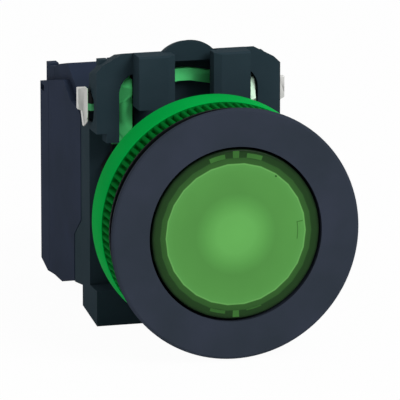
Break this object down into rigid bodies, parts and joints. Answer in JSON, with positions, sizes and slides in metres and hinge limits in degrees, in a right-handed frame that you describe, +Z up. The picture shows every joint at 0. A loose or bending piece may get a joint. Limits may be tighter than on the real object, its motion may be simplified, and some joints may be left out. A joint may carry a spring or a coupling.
{
  "type": "illuminated push button",
  "caption": "Flush illuminated push button with a round dark bezel, green lens, green fixing nut, mounting collar with lock clip, lamp block and contact blocks.",
  "frame": {"origin": "on the button axis, at the rear face of the bezel that meets the panel", "axes": "+Y from the front face to the back along the button axis, +Z up, +X right as seen from the front"},
  "size_m": [0.0394, 0.0621, 0.0451],
  "materials": {
    "dark_plastic": "fine matt moulded",
    "black_plastic": "matt moulded",
    "black_rubber": "soft matt",
    "green_plastic": "satin moulded",
    "green_lens": "clear tinted, polished",
    "milky_diffuser": "milky",
    "lamp_clear": "clear",
    "circuit_board": "satin",
    "plunger_plastic": "matt moulded",
    "bright_steel": "bright plated",
    "spring_steel": "drawn wire",
    "contact_brass": "stamped strip"
  },
  "bodies": {
    "housing": {"bezel": "dark_plastic", "panel_gasket": "black_rubber", "return_spring": "spring_steel", "mounting_collar": "dark_plastic", "lamp_case": "dark_plastic", "lamp_cover": "dark_plastic", "lamp": "lamp_clear", "lamp_board": "circuit_board", "lamp_upper_contact": "contact_brass", "lamp_lower_contact": "contact_brass", "lamp_terminal_screws": "bright_steel", "lamp_wire_clamps": "bright_steel", "left_contact_case": "dark_plastic", "left_contact_cover": "dark_plastic", "left_plunger_spring": "spring_steel", "left_upper_contact": "contact_brass", "left_lower_contact": "contact_brass", "left_terminal_screws": "bright_steel", "left_wire_clamps": "bright_steel", "right_contact_case": "dark_plastic", "right_contact_cover": "dark_plastic", "right_plunger_spring": "spring_steel", "right_upper_contact": "contact_brass", "right_lower_contact": "contact_brass", "right_terminal_screws": "bright_steel", "right_wire_clamps": "bright_steel"},
    "button": {"lens": "green_lens", "diffuser": "milky_diffuser", "lens_carrier": "black_plastic", "carrier_seal": "black_rubber", "pusher_ring": "black_plastic"},
    "washer": {"clamp_washer": "black_plastic"},
    "nut": {"clamp_nut": "green_plastic"},
    "clip": {"lock_clip": "bright_steel"},
    "left_slider": {"left_plunger": "plunger_plastic", "left_bridge": "contact_brass", "left_bridge_spring": "spring_steel"},
    "right_slider": {"right_plunger": "plunger_plastic", "right_bridge": "contact_brass", "right_bridge_spring": "spring_steel"}
  },
  "joints": [
    {"name": "push", "type": "slide", "parent": "housing", "child": "button", "axis": [0, 1, 0], "range_m": [0, 0.004], "stiffness_N_per_m": 500, "springref_m": -0.004, "deforming": ["return_spring"]},
    {"name": "left_plunger_travel", "type": "slide", "parent": "housing", "child": "left_slider", "axis": [0, 1, 0], "range_m": [0, 0.004], "stiffness_N_per_m": 150, "springref_m": -0.004, "deforming": ["left_plunger_spring"]},
    {"name": "right_plunger_travel", "type": "slide", "parent": "housing", "child": "right_slider", "axis": [0, 1, 0], "range_m": [0, 0.004], "stiffness_N_per_m": 150, "springref_m": -0.004, "deforming": ["right_plunger_spring"]},
    {"name": "nut_travel", "type": "slide", "parent": "housing", "child": "washer", "axis": [0, 1, 0], "range_m": [-0.00105, 0.00395]},
    {"name": "nut_turn", "type": "hinge", "parent": "washer", "child": "nut", "pos_m": [0, 0, 0], "axis": [0, 1, 0], "range_deg": [-250, 945]},
    {"name": "clip_release", "type": "slide", "parent": "housing", "child": "clip", "axis": [0, 0, -1], "range_m": [0, 0.0015], "stiffness_N_per_m": 600, "springref_m": -0.001}
  ],
  "couplings": [
    {"joint": "left_plunger_travel", "follows": "push", "ratio": 1},
    {"joint": "right_plunger_travel", "follows": "push", "ratio": 1},
    {"joint": "nut_travel", "follows": "nut_turn", "m_per_rad": 0.00023873}
  ]
}
